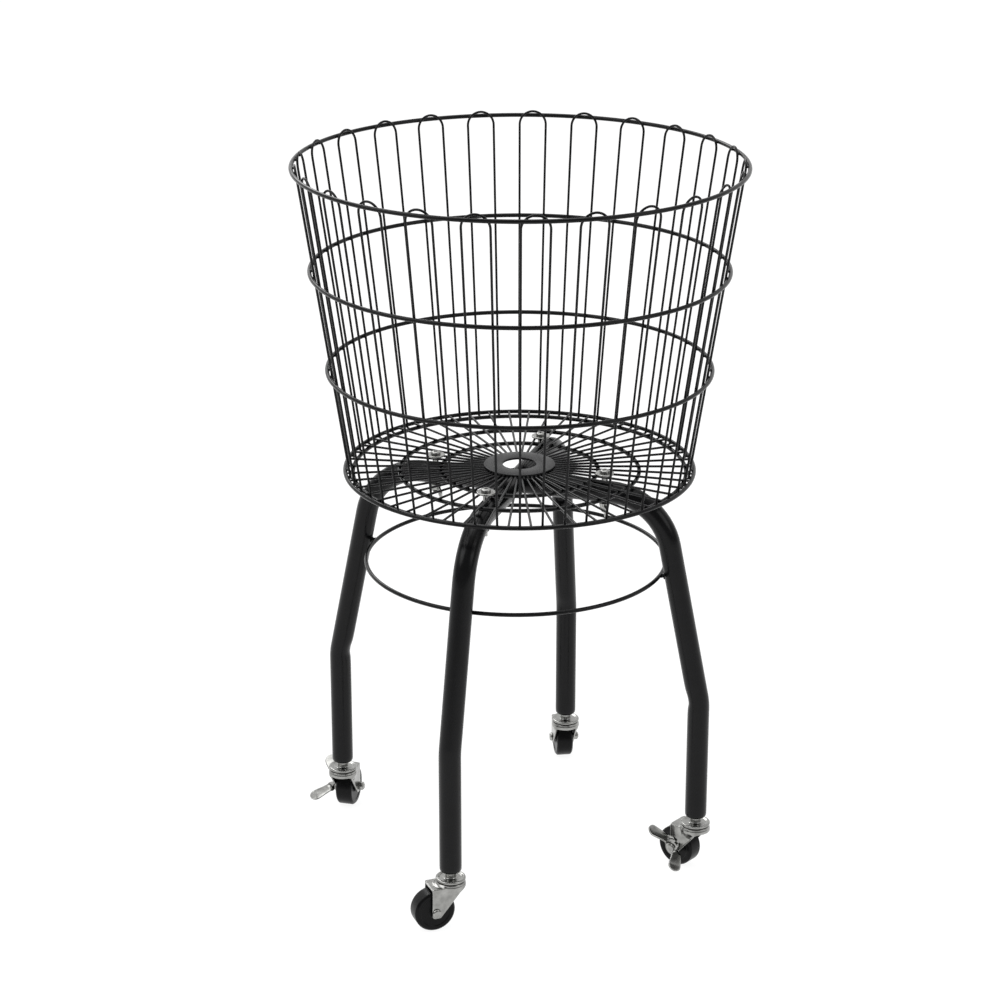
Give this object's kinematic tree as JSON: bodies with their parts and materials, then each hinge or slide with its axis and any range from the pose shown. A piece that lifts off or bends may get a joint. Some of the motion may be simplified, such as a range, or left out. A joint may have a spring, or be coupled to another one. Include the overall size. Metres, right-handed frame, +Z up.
{
  "type": "wire dump bin",
  "caption": "Round open wire basket, wider at the rim, on a bent-tube stand with splayed legs and small swivel casters: a rolling dump bin for loose goods.",
  "frame": {"origin": "on the floor, under the vertical axis of the basket", "axes": "+Z up; the legs stand at 45, 135, 225 and 315 degrees from +X towards +Y, and are named back, left, front and right as the picture shows them"},
  "size_m": [0.424, 0.424, 0.6951],
  "materials": {
    "black_coat": "satin",
    "zinc_steel": "satin",
    "wheel_plastic": "satin"
  },
  "bodies": {
    "basket_and_stand": {"rim_ring": "black_coat", "upper_ring": "black_coat", "lower_ring": "black_coat", "base_ring": "black_coat", "hairpin_01": "black_coat", "hairpin_02": "black_coat", "hairpin_03": "black_coat", "hairpin_04": "black_coat", "hairpin_05": "black_coat", "hairpin_06": "black_coat", "hairpin_07": "black_coat", "hairpin_08": "black_coat", "hairpin_09": "black_coat", "hairpin_10": "black_coat", "hairpin_11": "black_coat", "hairpin_12": "black_coat", "hairpin_13": "black_coat", "hairpin_14": "black_coat", "hairpin_15": "black_coat", "hairpin_16": "black_coat", "hairpin_17": "black_coat", "hairpin_18": "black_coat", "hairpin_19": "black_coat", "hairpin_20": "black_coat", "hairpin_21": "black_coat", "hairpin_22": "black_coat", "hairpin_23": "black_coat", "hairpin_24": "black_coat", "hairpin_25": "black_coat", "floor_panel": "black_coat", "leg_tube_left_right": "black_coat", "leg_tube_front": "black_coat", "leg_tube_back": "black_coat", "leg_ring": "black_coat", "floor_bolt_front": "zinc_steel", "wing_nut_front": "zinc_steel", "caster_stem_front": "zinc_steel", "floor_bolt_right": "zinc_steel", "wing_nut_right": "zinc_steel", "caster_stem_right": "zinc_steel", "floor_bolt_back": "zinc_steel", "wing_nut_back": "zinc_steel", "caster_stem_back": "zinc_steel", "floor_bolt_left": "zinc_steel", "wing_nut_left": "zinc_steel", "caster_stem_left": "zinc_steel"},
    "swivel_front": {"caster_fork_front": "zinc_steel", "caster_axle_front": "zinc_steel"},
    "wheel_front": {"caster_wheel_front": "wheel_plastic"},
    "swivel_right": {"caster_fork_right": "zinc_steel", "caster_axle_right": "zinc_steel"},
    "wheel_right": {"caster_wheel_right": "wheel_plastic"},
    "brake_right": {"brake_lever_right": "zinc_steel"},
    "swivel_back": {"caster_fork_back": "zinc_steel", "caster_axle_back": "zinc_steel"},
    "wheel_back": {"caster_wheel_back": "wheel_plastic"},
    "swivel_left": {"caster_fork_left": "zinc_steel", "caster_axle_left": "zinc_steel"},
    "wheel_left": {"caster_wheel_left": "wheel_plastic"},
    "brake_left": {"brake_lever_left": "zinc_steel"}
  },
  "joints": [
    {"name": "front_swivel", "type": "hinge", "parent": "basket_and_stand", "child": "swivel_front", "pos_m": [-0.1364, -0.12664, 0.045], "axis": [0, 0, 1], "continuous": true},
    {"name": "front_wheel_spin", "type": "hinge", "parent": "swivel_front", "child": "wheel_front", "pos_m": [-0.15451, -0.12487, 0.01983], "axis": [-0.0976, -0.9952, 0], "continuous": true},
    {"name": "right_swivel", "type": "hinge", "parent": "basket_and_stand", "child": "swivel_right", "pos_m": [0.12629, -0.13195, 0.045], "axis": [0, 0, 1], "continuous": true},
    {"name": "right_wheel_spin", "type": "hinge", "parent": "swivel_right", "child": "wheel_right", "pos_m": [0.11924, -0.11517, 0.01983], "axis": [-0.9219, -0.3875, 0], "continuous": true},
    {"name": "right_brake_rock", "type": "hinge", "parent": "swivel_right", "child": "brake_right", "pos_m": [0.11924, -0.11517, 0.01983], "axis": [0.9219, 0.3875, 0], "range_deg": [-40, 0]},
    {"name": "back_swivel", "type": "hinge", "parent": "basket_and_stand", "child": "swivel_back", "pos_m": [0.12587, 0.13718, 0.045], "axis": [0, 0, 1], "continuous": true},
    {"name": "back_wheel_spin", "type": "hinge", "parent": "swivel_back", "child": "wheel_back", "pos_m": [0.13179, 0.15439, 0.01983], "axis": [-0.9455, 0.3256, 0], "continuous": true},
    {"name": "left_swivel", "type": "hinge", "parent": "basket_and_stand", "child": "swivel_left", "pos_m": [-0.1311, 0.13675, 0.045], "axis": [0, 0, 1], "continuous": true},
    {"name": "left_wheel_spin", "type": "hinge", "parent": "swivel_left", "child": "wheel_left", "pos_m": [-0.11911, 0.15045, 0.01983], "axis": [-0.7524, 0.6587, 0], "continuous": true},
    {"name": "left_brake_rock", "type": "hinge", "parent": "swivel_left", "child": "brake_left", "pos_m": [-0.11911, 0.15045, 0.01983], "axis": [0.7524, -0.6587, 0], "range_deg": [-40, 0]}
  ]
}
